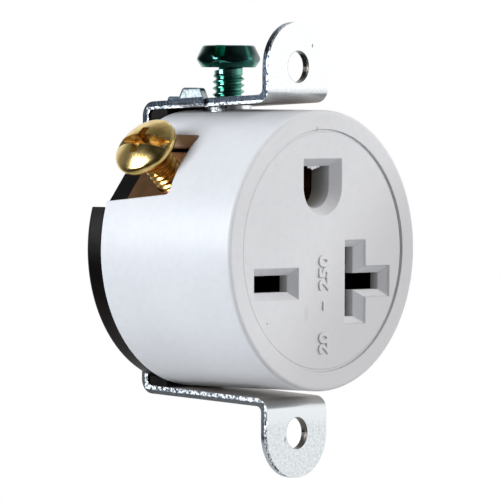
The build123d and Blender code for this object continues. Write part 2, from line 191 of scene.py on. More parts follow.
# Marks of wear, in millimetres: middle and half sizes, sideways and upwards
FACE_SMUDGE = (-3.0, -7.8, 0.5, 1.3)
FACE_SPECK = (-10.3, -8.8, 0.16, 0.16)
FACE_TICK = (-1.3, 15.15, 0.12, 0.4)
UPPER_EAR_SPOT = (2.66, 25.5, 0.16, 0.3)
LOWER_EAR_DENT = (-2.2, -23.6, 0.14, 0.42)

# Strap: one steel strip whose arms splay towards the ears, in millimetres
ARM_SLOPE = tan(radians(3.0))
ARM_GAP = 0.05
EAR_HOLE_RADIUS = 2.03
TAB_MIDDLE = 12.6
TAB_LENGTH = 4.3
TAB_HEIGHT = 1.4

# Heights at which the painted shade on the strap's lower half, and its painted sheen band under the bend, start
# and are full
LOWER_HALF = (2.0, -10.0)
UNDER_BEND = (-22.2, -20.8)
arm_rise = face_high.y * ARM_SLOPE
arm_height_at_ears = face_radius + strap_thickness + ARM_GAP * MM + arm_rise

# Studio
FLOOR_RADIUS = 0.3
FLOOR_GAP = 16 * MM
FLOOR_FADE = (0.03, 0.11)
FLOOR_SEGMENTS = 96

# Light of the world: share of the way round to its dark side, or from below to above, and level
DARK_AZIMUTH = -85.0
LEVELS_ROUND = ((0.0, 0.75), (0.3, 0.6), (0.52, 0.3), (0.72, 0.06), (1.0, 0.03))
LEVELS_UP = ((0.0, 0.3), (0.35, 0.45), (0.5, 1.0), (0.7, 0.8), (1.0, 0.6))

# Degrees from the middle of the white backdrop at which its mirror image starts and is full
BACKDROP_REACH = (60.0, 35.0)


# Camera


def direction(azimuth, elevation):
    """Unit vector from the object towards a camera or lamp at that azimuth and elevation."""
    a, e = radians(azimuth), radians(elevation)
    return Vector((sin(a) * cos(e), -cos(a) * cos(e), sin(e)))


def add_camera():
    """Camera whose picture puts the middle of the face where the photograph has it."""
    back = direction(CAMERA_AZIMUTH, CAMERA_ELEVATION)
    face = Vector((0, face_y, 0))
    place = face + back * CAMERA_DISTANCE
    right = Vector((0, 0, 1)).cross(back).normalized()
    up = back.cross(right)
    per_pixel = CAMERA_DISTANCE / FOCAL_PIXELS
    across = (FACE_PIXEL[0] - PHOTO_SIZE / 2) * per_pixel
    down = (FACE_PIXEL[1] - PHOTO_SIZE / 2) * per_pixel
    aim = face - right * across + up * down

    back = (place - aim).normalized()
    right = Vector((0, 0, 1)).cross(back).normalized()
    up = back.cross(right)
    roll = radians(CAMERA_ROLL)
    turned_right = right * cos(roll) + up * sin(roll)
    turned_up = up * cos(roll) - right * sin(roll)
    turn = Matrix((turned_right, turned_up, back)).transposed()

    lens = bpy.data.cameras.new("camera")
    lens.sensor_width = SENSOR_WIDTH
    lens.lens = FOCAL_PIXELS * SENSOR_WIDTH / PHOTO_SIZE
    lens.clip_start = 0.01
    lens.clip_end = 10.0
    camera = bpy.data.objects.new("camera", lens)
    camera.matrix_world = Matrix.Translation(place) @ turn.to_4x4()
    bpy.context.scene.collection.objects.link(camera)
    bpy.context.scene.camera = camera


# Node trees


class Nodes:
    """Adds and links the nodes of one tree with short calls."""

    def __init__(self, tree):
        self.tree = tree
        tree.nodes.clear()

    def add(self, kind, settings=None, **inputs):
        """New node with its settings, and its inputs as plain values or other nodes' outputs."""
        node = self.tree.nodes.new(kind)
        for name, value in (settings or {}).items():
            setattr(node, name, value)
        for name, value in inputs.items():
            self.put(node.inputs[name.replace("_", " ")], value)
        return node

    def put(self, socket, value):
        """Links a node's output to a socket, or sets the socket to a plain value."""
        if isinstance(value, bpy.types.NodeSocket):
            self.tree.links.new(value, socket)
        else:
            socket.default_value = value

    def math(self, operation, *values):
        node = self.tree.nodes.new("ShaderNodeMath")
        node.operation = operation
        for socket, value in zip(node.inputs, values):
            self.put(socket, value)
        return node.outputs[0]

    def product(self, *values):
        result = values[0]
        for value in values[1:]:
            result = self.math("MULTIPLY", result, value)
        return result

    def length(self, across, up):
        """Length of a line from its two parts."""
        squares = self.math("ADD", self.math("POWER", across, 2.0), self.math("POWER", up, 2.0))
        return self.math("SQRT", squares)

    def along(self, vector, way):
        """How far a unit vector points a given way, from -1 to 1."""
        node = self.add("ShaderNodeVectorMath", {"operation": "DOT_PRODUCT"})
        self.put(node.inputs[0], vector)
        self.put(node.inputs[1], way)
        return node.outputs["Value"]

    def ramp(self, value, *stops):
        """Value to colour or number: stops are (place, grey or colour)."""
        node = self.tree.nodes.new("ShaderNodeValToRGB")
        self.put(node.inputs[0], value)
        marks = node.color_ramp.elements
        while len(marks) < len(stops):
            marks.new(0.5)
        for mark, (place, colour) in zip(marks, stops):
            mark.position = place
            if not isinstance(colour, tuple):
                colour = (colour, colour, colour)
            mark.color = (*colour, 1)
        return node.outputs["Color"]

    def between(self, value, low, high):
        """0 at or before the low end of a range, 1 at or past its high end, smooth between."""
        node = self.tree.nodes.new("ShaderNodeMapRange")
        node.interpolation_type = "SMOOTHSTEP"
        for socket, number in zip(node.inputs, (value, low, high)):
            self.put(socket, number)
        return node.outputs[0]

    def mix(self, share, first, second, blend="MIX"):
        node = self.tree.nodes.new("ShaderNodeMix")
        node.data_type = "RGBA"
        node.blend_type = blend
        self.put(node.inputs["Factor"], share)
        self.put(node.inputs[6], first if not isinstance(first, tuple) else (*first, 1))
        self.put(node.inputs[7], second if not isinstance(second, tuple) else (*second, 1))
        return node.outputs[2]

    def noise(self, vector, size, detail=2.0, roughness=0.5):
        """Noise whose features are about size metres across."""
        node = self.add(
            "ShaderNodeTexNoise", Vector=vector, Scale=1 / size, Detail=detail, Roughness=roughness
        )
        return node.outputs["Fac"]

    def bump(self, height, strength, distance, normal=None):
        node = self.add("ShaderNodeBump", Height=height, Strength=strength, Distance=distance)
        if normal is not None:
            self.put(node.inputs["Normal"], normal)
        return node.outputs["Normal"]

    def place(self):
        """Position on the object, and its three parts."""
        coordinates = self.add("ShaderNodeTexCoord").outputs["Object"]
        parts = self.add("ShaderNodeSeparateXYZ", Vector=coordinates)
        return coordinates, parts.outputs[0], parts.outputs[1], parts.outputs[2]

    def facing(self):
        """The three parts of the direction that the surface faces."""
        normal = self.add("ShaderNodeNewGeometry").outputs["Normal"]
        parts = self.add("ShaderNodeSeparateXYZ", Vector=normal)
        return parts.outputs[0], parts.outputs[1], parts.outputs[2]

    def stretched(self, vector, x, y, z):
        """Coordinates scaled by a factor on each axis."""
        node = self.add("ShaderNodeMapping", Vector=vector, Scale=(x, y, z))
        return node.outputs[0]

    def patch(self, x, z, middle_x, middle_z, half_x, half_z, full=0.5):
        """1 near the middle of an ellipse given in millimetres, 0 outside it."""
        across = self.math("MULTIPLY_ADD", x, 1 / (half_x * MM), -middle_x / half_x)
        up = self.math("MULTIPLY_ADD", z, 1 / (half_z * MM), -middle_z / half_z)
        square = self.math("ADD", self.math("POWER", across, 2.0), self.math("POWER", up, 2.0))
        return self.between(square, 1.0, full)

    def surface(self, **inputs):
        shader = self.add("ShaderNodeBsdfPrincipled", **inputs)
        output = self.tree.nodes.new("ShaderNodeOutputMaterial")
        self.tree.links.new(shader.outputs[0], output.inputs[0])


def new_material(name):
    material = bpy.data.materials.new(name)
    material.use_nodes = True
    return material, Nodes(material.node_tree)


# Materials


def slot_painted_shade(nodes, depth, out):
    """Share of painted shade, from none at the mouths of the slots to most of it deep inside, where little light
    reaches.
    """
    inside = nodes.math("LESS_THAN", out, SLOT_REACH * MM)
    far_in = nodes.between(depth, THROAT_START * MM, LINER_END * MM)
    return nodes.product(inside, nodes.ramp(far_in, (0.0, 0.0), (0.3, 0.35), (0.7, 0.6), (1.0, 0.7)))


def notch_painted_bounce(nodes, x, z, depth, out):
    """Where the walls of the two notches are, and their colour: painted beige bounce light from the brass plate,
    with painted brown shade at the foot.
    """
    lean_x, _, lean_z = nodes.facing()
    outward = nodes.math("MULTIPLY_ADD", lean_z, z, nodes.product(lean_x, x))
    outward = nodes.math("ABSOLUTE", nodes.math("DIVIDE", outward, out))
    start, full = NOTCH_FRONT
    behind_front = nodes.between(depth, start * MM, full * MM)
    walls = nodes.product(nodes.between(outward, 0.75, 0.6), behind_front)
    start, full = NOTCH_FOOT
    foot = nodes.between(out, start * MM, full * MM)
    return walls, nodes.mix(foot, (0.84, 0.76, 0.71), (0.36, 0.21, 0.16))


def face_marks(nodes, colour, x, z, on_face):
    """Colour with the face's smudge, speck and tick on it."""
    smudge = nodes.product(nodes.patch(x, z, *FACE_SMUDGE, full=0.0), on_face, 0.3)
    colour = nodes.mix(smudge, colour, (0.50, 0.48, 0.42))
    spots = nodes.math("MAXIMUM", nodes.patch(x, z, *FACE_SPECK), nodes.patch(x, z, *FACE_TICK))
    return nodes.mix(nodes.product(spots, on_face, 0.6), colour, (0.2, 0.19, 0.17))


def white_plastic():
    """Satin urea plastic: smooth on the side, finely textured on the face; painted shade darkens the slots and the
    face's lower right, and painted bounce light tints the notch walls.
    """
    material, nodes = new_material("white_plastic")
    where, x, y, z = nodes.place()
    cloud = nodes.noise(where, 14 * MM, 3.0)
    fine = nodes.noise(where, 0.28 * MM, 3.0, 0.6)
    flow = nodes.noise(where, 2.4 * MM, 2.0)
    depth = nodes.math("SUBTRACT", y, face_y)
    out = nodes.length(x, z)
    on_face = nodes.between(depth, 0.5 * MM, 0.3 * MM)
    colour = nodes.ramp(cloud, (0.3, (0.735, 0.745, 0.775)), (0.7, (0.775, 0.785, 0.815)))
    mottle = nodes.ramp(nodes.noise(where, 0.9 * MM, 3.0), (0.35, 0.97), (0.65, 1.0))
    colour = nodes.mix(1.0, colour, mottle, "MULTIPLY")
    # Painted shade: the face grows darker towards its lower right
    face_painted_falloff = nodes.between(nodes.math("SUBTRACT", x, z), -4 * MM, 16 * MM)
    colour = nodes.mix(nodes.product(face_painted_falloff, on_face), colour, (0.60, 0.60, 0.62))
    # Painted shade: olive-grey darkening deep inside the slots
    colour = nodes.mix(slot_painted_shade(nodes, depth, out), colour, (0.215, 0.205, 0.155))
    # Painted bounce light and painted shade on the notch walls
    walls, painted_bounce_colour = notch_painted_bounce(nodes, x, z, depth, out)
    colour = nodes.mix(walls, colour, painted_bounce_colour)
    colour = face_marks(nodes, colour, x, z, on_face)

    polish = nodes.math("MULTIPLY_ADD", on_face, 0.25, 0.27)
    roughness = nodes.math("MULTIPLY_ADD", fine, 0.1, polish)
    edges = nodes.add("ShaderNodeBevel", {"samples": 4}, Radius=0.12 * MM).outputs[0]
    flow_bump = nodes.bump(flow, 0.25, 0.012 * MM, edges)
    grain = nodes.math("MULTIPLY_ADD", on_face, 0.16, 0.06)
    normal = nodes.bump(fine, grain, 0.03 * MM, flow_bump)
    nodes.surface(
        Base_Color=colour,
        Roughness=roughness,
        Normal=normal,
        IOR=1.5,
        Subsurface_Weight=0.06,
        Subsurface_Radius=(1.0, 0.95, 0.9),
        Subsurface_Scale=0.6 * MM,
    )
    return material


def black_plastic():
    """Dark thermoset moulding with a slight sheen and flow marks."""
    material, nodes = new_material("black_plastic")
    where = nodes.place()[0]
    cloud = nodes.noise(where, 5 * MM, 4.0)
    fine = nodes.noise(where, 0.25 * MM, 3.0, 0.6)
    colour = nodes.ramp(cloud, (0.35, (0.004, 0.003, 0.003)), (0.7, (0.010, 0.007, 0.006)))
    roughness = nodes.math("MULTIPLY_ADD", cloud, 0.2, 0.2)
    normal = nodes.bump(fine, 0.2, 0.02 * MM)
    nodes.surface(
        Base_Color=colour, Roughness=roughness, Normal=normal, IOR=1.45, Specular_IOR_Level=0.16
    )
    return material


def zinc_steel():
    """Bright zinc plate with a fine grain on its faces."""
    material, nodes = new_material("zinc_steel")
    where = nodes.place()[0]
    cloud = nodes.noise(where, 6 * MM, 3.0)
    grain = nodes.noise(where, 0.22 * MM, 3.0, 0.65)
    colour = nodes.ramp(grain, (0.3, (0.66, 0.70, 0.74)), (0.7, (0.83, 0.86, 0.88)))
    roughness = nodes.math("MULTIPLY_ADD", cloud, 0.14, 0.18)
    normal = nodes.bump(grain, 0.35, 0.012 * MM)
    nodes.surface(Base_Color=colour, Metallic=1.0, Roughness=roughness, Normal=normal)
    return material


def strap_faces(nodes, where, x, z, lower, inward):
    """Colour and roughness of the strap's plated faces, with painted shade on the lower half and on the inward
    faces, and a painted sheen band under the bend.
    """
    frost = nodes.noise(where, 0.4 * MM, 3.0, 0.6)
    bright = nodes.ramp(frost, (0.35, (0.66, 0.69, 0.71)), (0.65, (0.77, 0.79, 0.80)))
    frost_painted_shade = nodes.ramp(frost, (0.35, (0.47, 0.505, 0.515)), (0.65, (0.62, 0.65, 0.66)))
    # Painted shade: the lower half is coloured darker than the upper
    colour = nodes.mix(lower, bright, frost_painted_shade)
    # Painted sheen: a paler band under the lower bend
    start, full = UNDER_BEND
    under_bend_painted_sheen = nodes.product(nodes.between(z, start * MM, full * MM), lower)
    colour = nodes.mix(under_bend_painted_sheen, colour, (0.60, 0.63, 0.64))
    spot = nodes.patch(x, z, *UPPER_EAR_SPOT)
    dent = nodes.patch(x, z, *LOWER_EAR_DENT)
    marks = nodes.product(nodes.math("MAXIMUM", spot, dent), 0.75)
    colour = nodes.mix(marks, colour, (0.10, 0.10, 0.11))
    # Painted shade: inward faces get a dim brownish reflection of the housing's shaded underside
    inward_painted_shade = nodes.mix(lower, (0.33, 0.305, 0.28), (0.47, 0.44, 0.41))
    colour = nodes.mix(inward, colour, inward_painted_shade)
    roughness = nodes.math("MULTIPLY_ADD", nodes.noise(where, 6 * MM, 3.0), 0.12, 0.1)
    return colour, nodes.math("MULTIPLY_ADD", inward, 0.35, roughness)


def strap_cuts(nodes, where, share, lower, chips):
    """Colour of the strap's sheared edges, with painted shade on the upper ones and painted light on the lower
    ones, and which share of them is torn.
    """
    ragged = nodes.math("MULTIPLY_ADD", nodes.noise(where, 0.5 * MM, 3.0), 0.3, share)
    ragged = nodes.math("MULTIPLY_ADD", lower, 0.17, ragged)
    torn = nodes.between(ragged, 0.78, 0.88)
    streaks = nodes.noise(nodes.stretched(where, 1.0, 1.0, 0.18), 0.2 * MM, 2.0, 0.7)
    smooth = nodes.ramp(
        streaks, (0.38, (0.10, 0.135, 0.20)), (0.54, (0.28, 0.35, 0.44)), (0.64, (0.70, 0.75, 0.80))
    )
    # Painted shade on the upper cut edges, painted light on the lower ones
    edge_painted_shade = nodes.mix(1.0, smooth, (0.55, 0.56, 0.58), "MULTIPLY")
    edge_painted_light = nodes.mix(0.6, smooth, (0.80, 0.84, 0.88))
    smooth = nodes.mix(lower, edge_painted_shade, edge_painted_light)
    rough = nodes.ramp(chips, (0.45, (0.05, 0.07, 0.09)), (0.54, (0.88, 0.90, 0.92)))
    return nodes.mix(torn, smooth, rough), torn


def tab_side(nodes, y, rise, chips):
    """Colour of the wire tab's side, with painted shade along its outline."""
    colour = nodes.ramp(chips, (0.36, (0.20, 0.25, 0.26)), (0.56, (0.50, 0.56, 0.55)))
    off_middle = nodes.math("ABSOLUTE", nodes.math("SUBTRACT", y, TAB_MIDDLE * MM))
    from_top = nodes.math("SUBTRACT", TAB_HEIGHT * MM, rise)
    half = nodes.math("MULTIPLY_ADD", rise, -0.5, TAB_LENGTH / 2 * MM)
    inset = nodes.math("MINIMUM", from_top, nodes.math("SUBTRACT", half, off_middle))
    # Painted shade: a dark band along the tab's outline
    outline = nodes.between(inset, 0.3 * MM, 0.14 * MM)
    return nodes.mix(outline, colour, (0.055, 0.07, 0.09))


def strap_steel():
    """Zinc plate on the strap, with the two bands that shearing leaves on its edges."""
    material, nodes = new_material("strap_steel")
    where, x, y, z = nodes.place()
    lean_x, lean_y, lean_z = nodes.facing()
    # Lower half, which gets painted shade on its faces and painted light on its edges
    start, full = LOWER_HALF
    lower = nodes.between(z, start * MM, full * MM)
    height = nodes.math("ABSOLUTE", z)
    inward = nodes.product(lean_z, nodes.math("SIGN", z))
    inward = nodes.product(nodes.between(inward, -0.15, -1.0), 0.96)

    # Distance in from the strip's outer surface, as a share of its thickness
    arm = nodes.math("MULTIPLY_ADD", y, -ARM_SLOPE, arm_height_at_ears)
    in_arm = nodes.math("SUBTRACT", arm, height)
    in_ear = nodes.math("SUBTRACT", strap_thickness, y)
    in_back = nodes.math("SUBTRACT", strap_high.y, y)
    deep = nodes.math("MINIMUM", nodes.math("MAXIMUM", in_arm, in_ear), in_back)
    share = nodes.math("DIVIDE", deep, strap_thickness)

    # Where the cut edges, the ear holes and the wire tab are
    sideways = nodes.between(nodes.math("ABSOLUTE", lean_x), 0.55, 0.75)
    past_arm = nodes.math("GREATER_THAN", height, nodes.math("ADD", arm, 1.5 * strap_thickness))
    across_ear = nodes.between(nodes.math("ABSOLUTE", lean_y), 0.6, 0.4)
    off_hole = nodes.math("SUBTRACT", height, ear_hole_rise)
    in_hole = nodes.math("LESS_THAN", nodes.length(x, off_hole), EAR_HOLE_RADIUS * MM)
    edge = nodes.math("MAXIMUM", sideways, nodes.product(past_arm, across_ear))
    edge = nodes.math("MAXIMUM", edge, in_hole)
    on_arm = nodes.between(in_ear, -1.5 * MM, -2.5 * MM)
    tab = nodes.product(nodes.between(in_arm, -0.1 * MM, -0.25 * MM), on_arm)
    rise = nodes.math("SUBTRACT", height, arm)

    chips = nodes.noise(where, 0.38 * MM, 4.0, 0.7)
    face_colour, face_roughness = strap_faces(nodes, where, x, z, lower, inward)
    edge_colour, torn = strap_cuts(nodes, where, share, lower, chips)
    edge_colour = nodes.mix(tab, edge_colour, tab_side(nodes, y, rise, chips))
    edge_colour = nodes.mix(in_hole, edge_colour, (0.16, 0.145, 0.13))
    matt = nodes.math("MAXIMUM", torn, nodes.product(tab, 1.8))
    edge_roughness = nodes.math("MULTIPLY_ADD", matt, 0.2, 0.17)
    colour = nodes.mix(edge, face_colour, edge_colour)
    roughness = nodes.mix(edge, face_roughness, edge_roughness)
    grain = nodes.noise(where, 0.22 * MM, 3.0, 0.65)
    strength = nodes.math("MULTIPLY_ADD", nodes.product(edge, torn), 0.8, 0.2)
    normal = nodes.bump(grain, strength, 0.02 * MM)
    nodes.surface(Base_Color=colour, Metallic=1.0, Roughness=roughness, Normal=normal)
    return material


def contact_brass():
    """Rolled brass strip, darker and redder than bare brass: painted shade."""
    material, nodes = new_material("contact_brass")
    where = nodes.place()[0]
    rolled = nodes.noise(nodes.stretched(where, 1.0, 0.08, 1.0), 0.15 * MM, 3.0)
    cloud = nodes.noise(where, 3 * MM, 4.0)
    # Painted shade: brass coloured darker and redder
    colour = nodes.ramp(cloud, (0.3, (0.30, 0.155, 0.070)), (0.7, (0.46, 0.25, 0.115)))
    roughness = nodes.math("MULTIPLY_ADD", rolled, 0.2, 0.2)
    normal = nodes.bump(rolled, 0.25, 0.01 * MM)
    nodes.surface(Base_Color=colour, Metallic=1.0, Roughness=roughness, Normal=normal)
    return material


def screw_brass():
    """Bright brass with a pale lacquered finish, redder on the shank than on the head."""
    material, nodes = new_material("screw_brass")
    where, x, _, z = nodes.place()
    cloud = nodes.noise(where, 1.6 * MM, 4.0)
    fine = nodes.noise(where, 0.12 * MM, 3.0)
    colour = nodes.ramp(cloud, (0.35, (0.58, 0.40, 0.11)), (0.62, (0.90, 0.68, 0.28)))
    shank = nodes.between(nodes.length(x, z), SHANK_REACH * MM, (SHANK_REACH - SHANK_FADE) * MM)
    colour = nodes.mix(nodes.product(shank, 0.7), colour, (0.78, 0.46, 0.14))
    roughness = nodes.math("MULTIPLY_ADD", cloud, 0.14, 0.14)
    normal = nodes.bump(cloud, 0.06, 0.1 * MM, nodes.bump(fine, 0.12, 0.01 * MM))
    nodes.surface(Base_Color=colour, Metallic=1.0, Roughness=roughness, Normal=normal)
    return material


def slot_painted_light(name, dark, light):
    """Metal inside a screw's slot, coloured with painted reflections and light."""
    material, nodes = new_material(name)
    where = nodes.place()[0]
    cloud = nodes.noise(where, 1.3 * MM, 3.0)
    fine = nodes.noise(where, 0.12 * MM, 3.0)
    # Painted reflection and light in the slot's colour
    colour = nodes.ramp(cloud, (0.35, dark), (0.65, light))
    roughness = nodes.math("MULTIPLY_ADD", cloud, 0.2, 0.15)
    normal = nodes.bump(fine, 0.3, 0.01 * MM)
    nodes.surface(
        Base_Color=colour, Metallic=1.0, Roughness=roughness, Normal=normal, Specular_Tint=(*dark, 1)
    )
    return material


def green_steel():
    """Steel with a deep green metallic finish, paler on the shank, with painted dark reflections in the middles of
    the head's sides.
    """
    material, nodes = new_material("green_steel")
    where, x, y, z = nodes.place()
    cloud = nodes.noise(where, 1.4 * MM, 4.0)
    fine = nodes.noise(where, 0.15 * MM, 3.0)
    bright = nodes.ramp(cloud, (0.3, (0.030, 0.185, 0.148)), (0.7, (0.075, 0.34, 0.275)))
    deep = nodes.ramp(cloud, (0.3, (0.012, 0.045, 0.040)), (0.7, (0.024, 0.090, 0.080)))
    pale = nodes.ramp(cloud, (0.3, (0.085, 0.26, 0.21)), (0.7, (0.16, 0.44, 0.36)))

    # Painted dark reflection: darker middles of the six sides, above the foot cone
    along = nodes.math("SUBTRACT", y, screw_middle_y)
    angle = nodes.math("ARCTAN2", nodes.math("MULTIPLY", x, -1.0), along)
    from_turn = nodes.math("SUBTRACT", angle, radians(HEX_TURN))
    off_middle = nodes.math("PINGPONG", from_turn, pi / 6)
    end, full = HEX_PAINTED_DARK_FADE
    side = nodes.between(off_middle, radians(end), radians(full))
    above_foot = nodes.between(nodes.facing()[2], -0.4, -0.15)
    on_head = nodes.between(z, hex_seat_z, hex_seat_z + 0.3 * MM)
    side = nodes.product(side, above_foot, on_head)
    shank = nodes.between(z, hex_seat_z, hex_seat_z - 0.3 * MM)
    colour = nodes.mix(shank, nodes.mix(side, bright, deep), pale)
    roughness = nodes.math("MULTIPLY_ADD", cloud, 0.12, 0.08)
    normal = nodes.bump(fine, 0.2, 0.01 * MM)
    nodes.surface(
        Base_Color=colour,
        Metallic=1.0,
        Roughness=roughness,
        Normal=normal,
        Coat_Weight=0.2,
        Coat_Roughness=0.06,
    )
    return material


# Mesh helpers


def finish_mesh(name, mesh, looks, matrix, body):
    """Object from a bmesh in millimetres, set in the row frame and riding on its body."""
    bmesh.ops.recalc_face_normals(mesh, faces=mesh.faces)
    data = bpy.data.meshes.new(name)
    mesh.to_mesh(data)
    mesh.free()
    data.transform(matrix @ Matrix.Scale(MM, 4))
    piece = bpy.data.objects.new(name, data)
    bpy.context.scene.collection.objects.link(piece)
    for material in looks:
        data.materials.append(material)
    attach(piece, body)
    return piece


def ring_solid(rings):
    """Closed bmesh through rings of points, capped at both ends."""
    mesh = bmesh.new()
    rows = [[mesh.verts.new(point) for point in ring] for ring in rings]
    count = len(rows[0])
    for low, high in zip(rows, rows[1:]):
        for j in range(count):
            k = (j + 1) % count
            mesh.faces.new((low[j], low[k], high[k], high[j]))
    for row in (rows[0], rows[-1]):
        middle = sum((vertex.co for vertex in row), Vector()) / count
        centre = mesh.verts.new(middle)
        for j in range(count):
            mesh.faces.new((row[j], row[(j + 1) % count], centre))
    return mesh


def circle(radius, height, count):
    return [
        Vector((radius * cos(2 * pi * j / count), radius * sin(2 * pi * j / count), height))
        for j in range(count)
    ]


def thread_profile(phase):
    """Radius of the thread at a share of one pitch: root, flank, crest, flank."""
    half_root = THREAD_ROOT_SHARE / 2
    half_crest = THREAD_CREST_SHARE / 2
    off_root = min(phase, 1 - phase)
    share = (off_root - half_root) / (0.5 - half_root - half_crest)
    share = min(max(share, 0.0), 1.0)
    return THREAD_ROOT_RADIUS + (THREAD_RADIUS - THREAD_ROOT_RADIUS) * share


def threaded_shank(length):
    """Closed bmesh of a shank from its tip up into the head, whose rows follow the helix."""
    mesh = bmesh.new()
    count, per_turn = THREAD_SEGMENTS, THREAD_ROWS
    step = THREAD_PITCH / per_turn
    low = -length
    rows = int((length + HEAD_OVERLAP - THREAD_PITCH) / step)
    neck = -NECK_LENGTH
    verts = {}
    for i in range(rows + 1):
        for j in range(count):
            height = low + (i + per_turn * j / count) * step
            radius = thread_profile((i % per_turn) / per_turn)
            fade = min(max((neck - height) / (NECK_FADE_SHARE * THREAD_PITCH), 0.0), 1.0)
            radius = NECK_RADIUS + (radius - NECK_RADIUS) * fade
            chamfer = THREAD_RADIUS - TIP_CHAMFER + (height - low)
            radius = min(radius, max(chamfer, THREAD_ROOT_RADIUS - TIP_CHAMFER))
            angle = 2 * pi * j / count
            place = (radius * cos(angle), radius * sin(angle), height)
            verts[i, j] = mesh.verts.new(place)
    for i in range(rows + 1 - per_turn):
        verts[i, count] = verts[i + per_turn, 0]
    for i in range(rows):
        for j in range(count):
            corners = [(i, j), (i, j + 1), (i + 1, j + 1), (i + 1, j)]
            if all(corner in verts for corner in corners):
                mesh.faces.new([verts[corner] for corner in corners])
    bottom = [verts[0, j] for j in range(count)] + [verts[i, 0] for i in range(per_turn, 0, -1)]
    top = [verts[rows, j] for j in range(count)]
    top += [verts[i, count - 1] for i in range(rows - 1, rows - per_turn - 1, -1)]
    for loop in (bottom, top):
        middle = sum((vertex.co for vertex in loop), Vector()) / len(loop)
        centre = mesh.verts.new((0, 0, middle.z))
        for near, far in zip(loop, loop[1:] + loop[:1]):
            mesh.faces.new((near, far, centre))
    return mesh


def block(mesh, top, bottom, near, far):
    """Adds a closed block: its upper and lower half sizes, and its two heights."""
    corners = []
    for (half_x, half_y), height in ((bottom, near), (top, far)):
        for sx, sy in ((-1, -1), (1, -1), (1, 1), (-1, 1)):
            corners.append(mesh.verts.new((sx * half_x, sy * half_y, height)))
    for j in range(4):
        k = (j + 1) % 4
        mesh.faces.new((corners[j], corners[k], corners[k + 4], corners[j + 4]))
    mesh.faces.new(corners[3::-1])
    mesh.faces.new(corners[4:])


def cut(mesh, cutter):
    """Subtracts one bmesh from another, and gives the cut faces the second material."""
    objects = []
    for face in cutter.faces:
        face.material_index = 1
    for name, source in (("body", mesh), ("cutter", cutter)):
        bmesh.ops.recalc_face_normals(source, faces=source.faces)
        data = bpy.data.meshes.new(name)
        source.to_mesh(data)
        source.free()
        piece = bpy.data.objects.new(name, data)
        bpy.context.scene.collection.objects.link(piece)
        objects.append(piece)
    body, tool = objects
    change = body.modifiers.new("cut", "BOOLEAN")
    change.operation = "DIFFERENCE"
    change.solver = "EXACT"
    change.object = tool
    bpy.context.view_layer.update()
    graph = bpy.context.evaluated_depsgraph_get()
    result = bmesh.new()
    result.from_mesh(body.evaluated_get(graph).to_mesh())
    for piece in objects:
        data = piece.data
        bpy.data.objects.remove(piece)
        bpy.data.meshes.remove(data)
    return result


def soften(piece, width):
    """Rounds the sharp edges of a piece and shades it smoothly."""
    bevel = piece.modifiers.new("bevel", "BEVEL")
    bevel.width = width * MM
    bevel.segments = 3
    bevel.limit_method = "ANGLE"
    bevel.angle_limit = radians(SOFT_ANGLE)
    for polygon in piece.data.polygons:
        polygon.use_smooth = True
    normals = piece.modifiers.new("normals", "WEIGHTED_NORMAL")
    normals.keep_sharp = True


# Screws


def screw_place(node, joint_name):
    """A point on a screw's axis, the axis, a turn onto it, and its two ends along it."""
    joint = next(j for j in frame["joints"] if j["name"] == joint_name)
    axis = Vector(joint["axis"]).normalized()
    depth = Vector((0, 1, 0))
    side = axis.cross(depth)
    points = [vertex.co for vertex in frame["nodes"][node].data.vertices]
    middle = Vector()
    for line in (depth, side):
        along = [point.dot(line) for point in points]
        middle += line * (min(along) + max(along)) / 2
    heights = [point.dot(axis) for point in points]
    turn = Matrix((depth, side, axis)).transposed().to_4x4()
    return middle, axis, turn, min(heights), max(heights)


def binding_head():
    """Low dome on a thick rounded rim, with a full slot and a short tapered cross arm."""
    low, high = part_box("left_terminal_screw")
    radius = (high.y - low.y) / 2 / MM
    edge = radius - BINDING_EDGE_ROUND
    rise = BINDING_HEIGHT - BINDING_RIM
    reach = BINDING_DOME_RADIUS
    dome = (reach**2 + rise**2) / (2 * rise)
    profile = [(edge * share, 0.0) for share in BINDING_UNDERSIDE]
    last = acos((reach - edge) / BINDING_EDGE_ROUND)
    for step in range(BINDING_EDGE_STEPS + 1):
        angle = -pi / 2 + (last + pi / 2) * step / BINDING_EDGE_STEPS
        share = (1 + sin(angle)) / (1 + sin(last))
        profile.append((edge + BINDING_EDGE_ROUND * cos(angle), BINDING_RIM * share))
    for step in range(1, BINDING_DOME_STEPS):
        out = reach * (1 - step / BINDING_DOME_STEPS)
        profile.append((out, BINDING_HEIGHT - dome + (dome**2 - out**2) ** 0.5))
    head = ring_solid([circle(out, height, BINDING_SEGMENTS) for out, height in profile])

    floor = BINDING_HEIGHT - BINDING_SLOT_DEPTH
    above = BINDING_HEIGHT + CUT_ROOM
    flare = BINDING_SLOT_FLARE
    half = BINDING_SLOT_WIDTH / 2
    slot = bmesh.new()
    block(slot, (2 * radius, half + flare), (2 * radius, half - flare), floor, above)
    head = cut(head, slot)
    cross = bmesh.new()
    half = BINDING_CROSS_WIDTH / 2
    arm_at_floor = BINDING_CROSS_LENGTH / 2 - BINDING_CROSS_TAPER
    arm_above = arm_at_floor + BINDING_CROSS_TAPER * (above - floor) / BINDING_SLOT_DEPTH
    block(cross, (half, arm_above), (half, arm_at_floor), floor, above)
    return cut(head, cross)


def hex_radius(angle):
    """Distance from the axis to the side of the hexagon at an angle."""
    sector = pi / 3
    off = (angle + sector / 2) % sector - sector / 2
    return HEX_ACROSS_FLATS / 2 / cos(off)


def soft_minimum(values, power=40.0):
    """Least of a few numbers, with a small round where two of them cross."""
    return sum(value**-power for value in values) ** (-1 / power)


